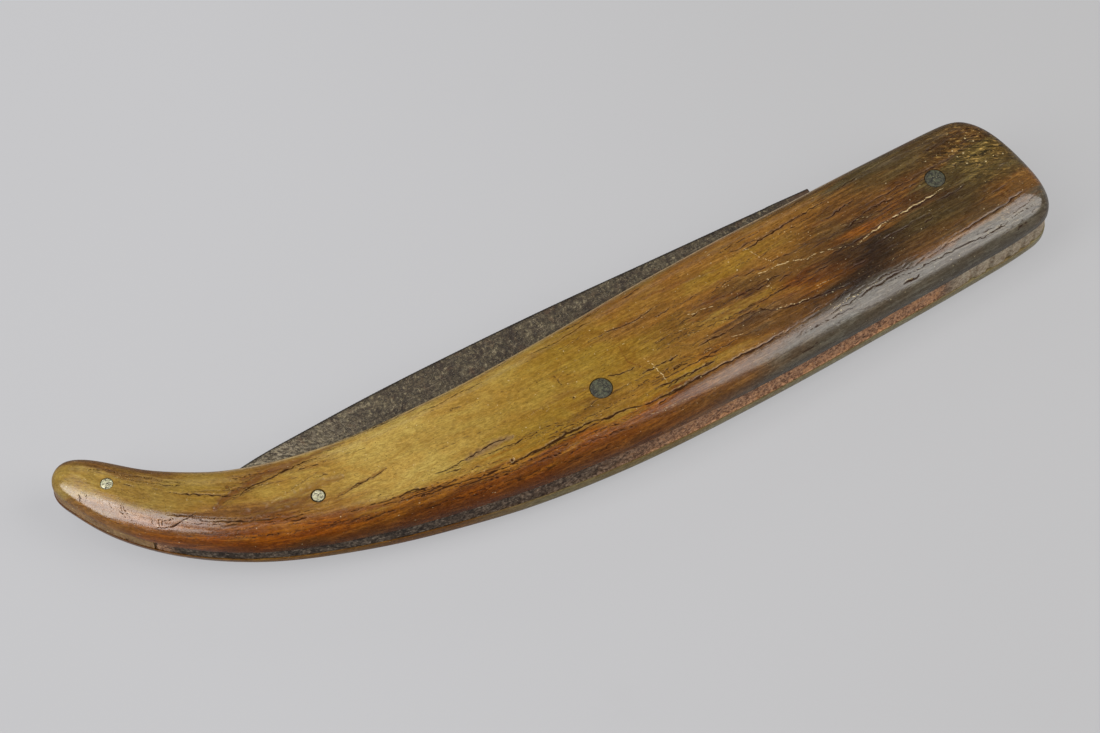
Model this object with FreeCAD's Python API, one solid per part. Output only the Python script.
import FreeCAD, Part
import math
import os

# Horn-handled folding razor with a back spring, modelled closed.
# Frame: the origin is where the pivot pin's axis meets the outer flat of the
# back scale.  +Z points out of the front scale, +X runs along the handle to
# the pivot end, +Y points to the open side where the blade's spine shows.
# All lengths are millimetres, all angles degrees.

V = FreeCAD.Vector

# ---------------------------------------------------------------- handle
TOTAL_T = 12.6          # over both scales at the pivot
MID_Z = TOTAL_T / 2.0   # the plane the blade swings in
HALF_GAP_HEAD = 2.00    # half the slot between the scales, pivot to middle pin
HALF_GAP_TAIL = 1.10    # the same at the tail
GAP_BEND_HEAD = -60.0   # x where the slot starts to close in
GAP_BEND_TAIL = -105.0  # x from which it is parallel again
EDGE_R = 2.5            # rounding of the scales' outer edges

# Outer outline of the scales (x, y), from the tail along the open side to the
# pivot end and back along the spring side.
OUTLINE = [
    (-135.10, -9.95), (-134.55, -8.00), (-132.80, -6.80), (-130.45, -6.95),
    (-127.20, -8.35), (-122.50, -10.95), (-117.20, -13.05), (-112.00, -14.50),
    (-107.00, -15.20), (-101.00, -15.40), (-95.00, -15.10), (-88.20, -14.20),
    (-80.80, -12.80), (-73.30, -11.10), (-65.40, -8.85), (-57.50, -6.45),
    (-49.50, -3.90), (-41.50, -1.60), (-33.50, 0.60), (-25.40, 2.65),
    (-16.20, 5.00), (-9.40, 6.70), (-2.50, 8.35), (3.20, 9.65),
    (7.20, 9.85), (10.30, 7.90), (12.75, 4.20), (14.55, -0.20),
    (15.65, -4.60), (15.05, -8.20), (11.60, -10.45), (3.70, -13.05),
    (-3.30, -15.10), (-13.70, -18.00), (-24.00, -20.85), (-34.00, -23.45),
    (-44.00, -25.80), (-53.70, -27.75), (-63.10, -29.20), (-72.30, -30.15),
    (-81.30, -30.55), (-90.20, -30.60), (-98.80, -30.05), (-107.20, -28.85),
    (-115.40, -26.45), (-121.00, -23.90), (-126.00, -20.75), (-130.30, -17.00),
    (-133.40, -13.30),
]

# The outer faces leave their flats and taper to the tail: (x, depth below the flat).
TAPER = [(-62.0, 0.0), (-72.0, 0.16), (-85.0, 0.75), (-99.0, 1.52),
         (-112.0, 2.08), (-124.0, 2.34), (-140.0, 2.46)]

# Limits of the cutting and trimming tools, all clear of the handle.
TOOL_X_HEAD = 40
TOOL_X_TAIL = -150
TOOL_HALF_Y = 60
TAPER_TOOL_Z = -5
SPRING_BLANK_Y = -45

# ---------------------------------------------------------------- pins
PIVOT = (0.0, 0.0)
MIDDLE = (-57.3, -19.6)
SPRING_PIN = (-99.9, -23.8)
TAIL_PIN = (-127.7, -13.0)

PIVOT_SHAFT_R = 1.35
MIDDLE_SHAFT_R = 1.45
SMALL_PIN_R = 0.90      # spring pin and tail pin
SPRING_PIN_HOLE_R = 1.08
FIT = 0.02              # radial clearance of a fixed part on its pin
RUN = 0.05              # radial clearance of the blade, and the spring on the spring pin
MIDDLE_RUN = 0.03       # radial clearance of the spring on the middle pin
PIN_RECESS = 0.10       # pin ends sit this far below the scale's face
HEAD_DEPTH = 0.9        # length of the flared end
FLARED_HOLE_OVER = 0.02     # how far a hole's tool passes the scale's face
STRAIGHT_HOLE_OVER = 1.0

# name: (place, shaft radius, end radius, radial clearance in the scales)
PINS = {
    "pivot_pin": (PIVOT, PIVOT_SHAFT_R, 1.50, FIT),
    "middle_pin": (MIDDLE, MIDDLE_SHAFT_R, 1.62, FIT),
    "spring_pin": (SPRING_PIN, SMALL_PIN_R, SMALL_PIN_R, SPRING_PIN_HOLE_R - SMALL_PIN_R),
    "tail_pin": (TAIL_PIN, SMALL_PIN_R, SMALL_PIN_R, FIT),
}

# ---------------------------------------------------------------- spring
SPRING_ANGLE = 16.3     # direction of the spring-side edge at the pivot end
SPRING_LINE = 7.00      # pivot to the spring's inner face
SPRING_OUTER = 13.57    # pivot to the spring's outer face
SPRING_SIDE_GAP = 0.03  # spring to scale, each side
FLAT_FROM, FLAT_TO = 20.0, -9.0     # straight inner face, along the spring from the pivot

# Inner face (x, y) from the end of the straight to the rear end's inner corner.
SPRING_CURVE = [
    (-30.0, -15.95), (-44.0, -19.15), (-57.3, -21.25), (-72.0, -22.55),
    (-86.0, -22.25), (-94.0, -21.10), (-100.0, -20.60), (-106.0, -20.95),
    (-112.0, -21.30), (-117.5, -20.60), (-120.3, -19.2)]
SPRING_CURVE_END_DIR = V(-0.7, 0.71, 0)
REAR_INNER = V(*SPRING_CURVE[-1], 0)
REAR_OUTER = V(-125.2, -24.5, 0)    # the rear end's line runs out past the outline
REAR_BLANK_X = -125

# File cuts across the spring's end: distance along it from the pivot, width, depth.
NOTCHES = [(-2.2, 1.5, 0.55), (1.0, 1.3, 0.50), (4.4, 1.2, 0.50),
           (7.1, 1.0, 0.45), (9.2, 0.9, 0.45)]

# ---------------------------------------------------------------- tail wedge
WEDGE_GAP = 0.30        # room for the spring's rear end to move
WEDGE_SIDE_GAP = 0.02   # wedge to scale, each side
# Rest of the wedge's blank (x, y); only the last three sides lie inside the outline.
WEDGE_BLANK = [(-140, -30), (-150, -20), (-150, 0), (-114.5, 0),
               (-114.8, -14.5), (-117.0, -16.6)]

# ---------------------------------------------------------------- blade
# Spine and cutting edge (x, y), closed; they meet at the point.
SPINE = [(-17.2, 6.60), (-30.0, 4.15), (-45.0, 1.20), (-60.0, -1.75),
         (-75.0, -5.02), (-90.0, -8.62), (-100.0, -11.35), (-106.0, -13.10),
         (-109.6, -14.40)]
EDGE = [SPINE[-1], (-105.5, -16.00), (-98.0, -17.75), (-88.0, -18.60),
        (-76.0, -17.90), (-60.0, -15.40), (-42.0, -12.15), (-25.0, -9.00)]
TANG_R = 6.97           # round of the tang about the pivot
TANG_HALF_T = 1.68
TANG_FLAT = 14.9        # length of the flat on the tang's spine side
TANG_ARC_MID = SPRING_ANGLE - 60
TANG_ARC_END = SPRING_ANGLE - 152
HEEL_CORNER = V(-21.5, -5.6, 0)
# Three points on the front face of the wedge section, z from the mid plane.
GRIND_SPINE = V(-19.0, 6.3, 1.62)
GRIND_POINT = V(-106.0, -13.1, 0.80)
GRIND_EDGE = V(-60.0, -15.4, 0.14)
PLUNGE_X = -24.0        # the grind runs out here, short of the tang

# ---------------------------------------------------------------- washers
WASHER_R = 4.2
WASHER_T = 0.28
WASHER_GAP = 0.01       # washer to scale


# ---------------------------------------------------------------- helpers
def flat(points):
    return [V(x, y, 0) for x, y in points]


def spline(points, **options):
    curve = Part.BSplineCurve()
    curve.interpolate(Points=points, **options)
    return curve.toShape()


def lines(*points):
    """Straight edges from each point to the next."""
    return [Part.makeLine(p, q) for p, q in zip(points, points[1:])]


def prism(wire, z0, z1):
    face = Part.Face(wire)
    face.translate(V(0, 0, z0))
    return face.extrude(V(0, 0, z1 - z0))


def cyl(place, radius, z0, z1):
    return Part.makeCylinder(radius, z1 - z0, V(place[0], place[1], z0), V(0, 0, 1))


def through(place, radius):
    """Cylinder that passes both outer faces of the handle."""
    return cyl(place, radius, -1, TOTAL_T + 1)


def across_handle(wire):
    """Solid from an X-Z wire at y = -TOOL_HALF_Y, running right through in Y."""
    return Part.Face(wire).extrude(V(0, 2 * TOOL_HALF_Y, 0))


def mirror_mid(shape):
    return shape.mirror(V(0, 0, MID_Z), V(0, 0, 1))


def one_solid(shape):
    merged = shape.removeSplitter()
    if len(merged.Solids) != 1:
        raise RuntimeError("expected one solid, got %d" % len(merged.Solids))
    return merged.Solids[0]


def save(shape, name):
    if not shape.isValid():
        raise RuntimeError(name + " isn't valid")
    shape.exportStep("parts/%s.step" % name)


def slot(side_gap):
    """The space between the scales, less a gap on each side."""
    head = HALF_GAP_HEAD - side_gap
    tail = HALF_GAP_TAIL - side_gap
    half = [(TOOL_X_HEAD, head), (GAP_BEND_HEAD, head),
            (GAP_BEND_TAIL, tail), (TOOL_X_TAIL, tail)]
    points = [V(x, -TOOL_HALF_Y, MID_Z + h) for x, h in half]
    points += [V(x, -TOOL_HALF_Y, MID_Z - h) for x, h in reversed(half)]
    return across_handle(Part.makePolygon(points + points[:1]))


def taper_lift(x):
    """Depth of the tapered face below the flat, straight between stations."""
    if x >= TAPER[0][0]:
        return 0.0
    for (xa, za), (xb, zb) in zip(TAPER, TAPER[1:]):
        if xb <= x <= xa:
            return za + (zb - za) * (xa - x) / (xa - xb)
    return TAPER[-1][1]


def handle_prism(z1):
    return prism(Part.Wire([spline(flat(OUTLINE), PeriodicFlag=True)]), 0, z1)


# Directions of the spring at the pivot end: along it to the pivot end, and
# across it to the open side.
ALONG = V(math.cos(math.radians(SPRING_ANGLE)), math.sin(math.radians(SPRING_ANGLE)), 0)
ACROSS = V(-ALONG.y, ALONG.x, 0)


def from_pivot(along, across):
    return ALONG * along + ACROSS * across


# ---------------------------------------------------------------- scales
def taper_tool():
    """Removes the taper: one smooth ruled face, tangent to the flat."""
    def point(x, z):
        return V(x, -TOOL_HALF_Y, z)

    curve = spline([point(x, z) for x, z in TAPER],
                   InitialTangent=V(-1, 0, 0), FinalTangent=V(-1, 0, 0.005))
    start, end = TAPER[0], TAPER[-1]
    sides = lines(point(*end), point(end[0], TAPER_TOOL_Z),
                  point(start[0], TAPER_TOOL_Z), point(*start))
    return across_handle(Part.Wire([curve] + sides))


def outer_edges(shape):
    """Edges round the outer face, without the line where the taper starts."""
    found = []
    for edge in shape.Edges:
        middle = edge.valueAt(0.5 * (edge.FirstParameter + edge.LastParameter))
        if abs(middle.z - taper_lift(middle.x)) >= 0.12:
            continue
        first = edge.valueAt(edge.FirstParameter)
        last = edge.valueAt(edge.LastParameter)
        crosses = abs(first.x - last.x) < 1e-3 and abs(first.y - last.y) > 5
        if not (crosses and abs(middle.x - TAPER[0][0]) < 0.01):
            found.append(edge)
    return found


def undrilled_back_scale():
    blank = handle_prism(MID_Z).cut(taper_tool())
    blank = one_solid(blank.cut(slot(0.0)))
    return one_solid(blank.makeFillet(EDGE_R, outer_edges(blank)))


def drilled(scale):
    for place, shaft_r, end_r, clearance in PINS.values():
        past_face = FLARED_HOLE_OVER if end_r > shaft_r else STRAIGHT_HOLE_OVER
        scale = scale.cut(pin(place, shaft_r, end_r, clearance, PIN_RECESS + past_face))
    return one_solid(scale)


# ---------------------------------------------------------------- pins
def pin(place, shaft_r, end_r, grow=0.0, longer=0.0):
    """A pin, flared at both ends if end_r is the larger radius.

    grow (radial) and longer (at each end) turn it into the tool for its hole.
    """
    z0 = taper_lift(place[0]) + PIN_RECESS - longer
    z1 = TOTAL_T - z0
    body = cyl(place, shaft_r + grow, z0, z1)
    if end_r > shaft_r:
        depth = HEAD_DEPTH + longer
        for z, inward in ((z0, 1), (z1, -1)):
            body = body.fuse(Part.makeCone(end_r + grow, shaft_r + grow, depth,
                                           V(place[0], place[1], z), V(0, 0, inward)))
        body = body.removeSplitter()
    return body


# ---------------------------------------------------------------- spring
def back_spring():
    """Outer face flush with the scales, inner face straight under the tang,
    then curving past the middle pin and swelling round the spring pin."""
    flat_start = from_pivot(FLAT_FROM, -SPRING_LINE)
    flat_end = from_pivot(FLAT_TO, -SPRING_LINE)
    curve = spline([flat_end] + flat(SPRING_CURVE),
                   InitialTangent=ALONG * -1, FinalTangent=SPRING_CURVE_END_DIR)
    outer_sides = lines(REAR_INNER, REAR_OUTER, V(REAR_BLANK_X, SPRING_BLANK_Y, 0),
                        V(TOOL_X_HEAD, SPRING_BLANK_Y, 0), flat_start)
    wire = Part.Wire(lines(flat_start, flat_end) + [curve] + outer_sides)
    spring = prism(wire, 0, TOTAL_T).common(handle_prism(TOTAL_T))
    spring = spring.common(slot(SPRING_SIDE_GAP))
    spring = spring.cut(through(SPRING_PIN, SMALL_PIN_R + RUN))
    spring = spring.cut(through(MIDDLE, MIDDLE_SHAFT_R + MIDDLE_RUN))
    for along, width, depth in NOTCHES:
        # radius of the arc with this chord and depth, centred outside the spring
        radius = (width * width / 4.0 + depth * depth) / (2.0 * depth)
        centre = from_pivot(along, -SPRING_OUTER - (radius - depth))
        spring = spring.cut(cyl(centre, radius, 0, TOTAL_T))
    return one_solid(spring)


# ---------------------------------------------------------------- tail wedge
def tail_wedge():
    """Fills the slot at the tail, a gap behind the spring's rear end."""
    rear_dir = REAR_OUTER - REAR_INNER
    rear_dir.normalize()
    shift = V(rear_dir.y, -rear_dir.x, 0) * WEDGE_GAP   # towards the tail
    inner = REAR_INNER + shift
    wire = Part.makePolygon([inner, REAR_OUTER + shift] + flat(WEDGE_BLANK) + [inner])
    wedge = prism(wire, 0, TOTAL_T).common(handle_prism(TOTAL_T))
    wedge = wedge.common(slot(WEDGE_SIDE_GAP))
    return one_solid(wedge.cut(through(TAIL_PIN, SMALL_PIN_R + FIT)))


# ---------------------------------------------------------------- blade
def tang_point(angle):
    return V(TANG_R * math.cos(math.radians(angle)), TANG_R * math.sin(math.radians(angle)), 0)


def grind_tool():
    """Everything outside the front flat of the blade's wedge section."""
    normal = (GRIND_POINT - GRIND_SPINE).cross(GRIND_EDGE - GRIND_SPINE)
    normal.normalize()
    x_dir = V(1, 0, 0) - normal * normal.x
    x_dir.normalize()
    tool = Part.makeBox(400, 400, 20, V(-200, -200, 0))
    turn = FreeCAD.Rotation(x_dir, normal.cross(x_dir), normal, "ZXY")
    tool.Placement = FreeCAD.Placement(GRIND_SPINE, turn)
    # the grind ends at the plunge line
    tool = tool.common(Part.makeBox(200, 200, 40, V(PLUNGE_X - 200, -100, -20)))
    tool.translate(V(0, 0, MID_Z))
    return tool


def blade():
    """Tang round about the pivot, with a flat on its spine side that lies
    against the spring when the blade is open."""
    flat_end = from_pivot(0.0, TANG_R)
    arc_end = tang_point(TANG_ARC_END)
    outline = [spline(flat(SPINE)), spline(flat(EDGE))]
    outline += lines(V(*EDGE[-1], 0), HEEL_CORNER, arc_end)
    outline += [Part.Arc(flat_end, tang_point(TANG_ARC_MID), arc_end).toShape()]
    outline += lines(flat_end, from_pivot(-TANG_FLAT, TANG_R), V(*SPINE[0], 0))
    body = prism(Part.Wire(outline), MID_Z - TANG_HALF_T, MID_Z + TANG_HALF_T)
    front_grind = grind_tool()
    body = body.cut(front_grind).cut(mirror_mid(front_grind))
    return one_solid(body.cut(through(PIVOT, PIVOT_SHAFT_R + RUN)))


# ---------------------------------------------------------------- washers
def washer(z0):
    disc = cyl(PIVOT, WASHER_R, z0, z0 + WASHER_T)
    return disc.cut(through(PIVOT, PIVOT_SHAFT_R + FIT))


# ---------------------------------------------------------------- write
os.makedirs("parts", exist_ok=True)
back = undrilled_back_scale()
save(drilled(back), "back_scale")
save(drilled(mirror_mid(back)), "front_scale")
save(tail_wedge(), "tail_wedge")
save(back_spring(), "back_spring")
save(blade(), "blade")
save(washer(MID_Z - HALF_GAP_HEAD + WASHER_GAP), "back_washer")
save(washer(MID_Z + HALF_GAP_HEAD - WASHER_GAP - WASHER_T), "front_washer")
for pin_name, (place, shaft_r, end_r, _) in PINS.items():
    save(one_solid(pin(place, shaft_r, end_r)), pin_name)
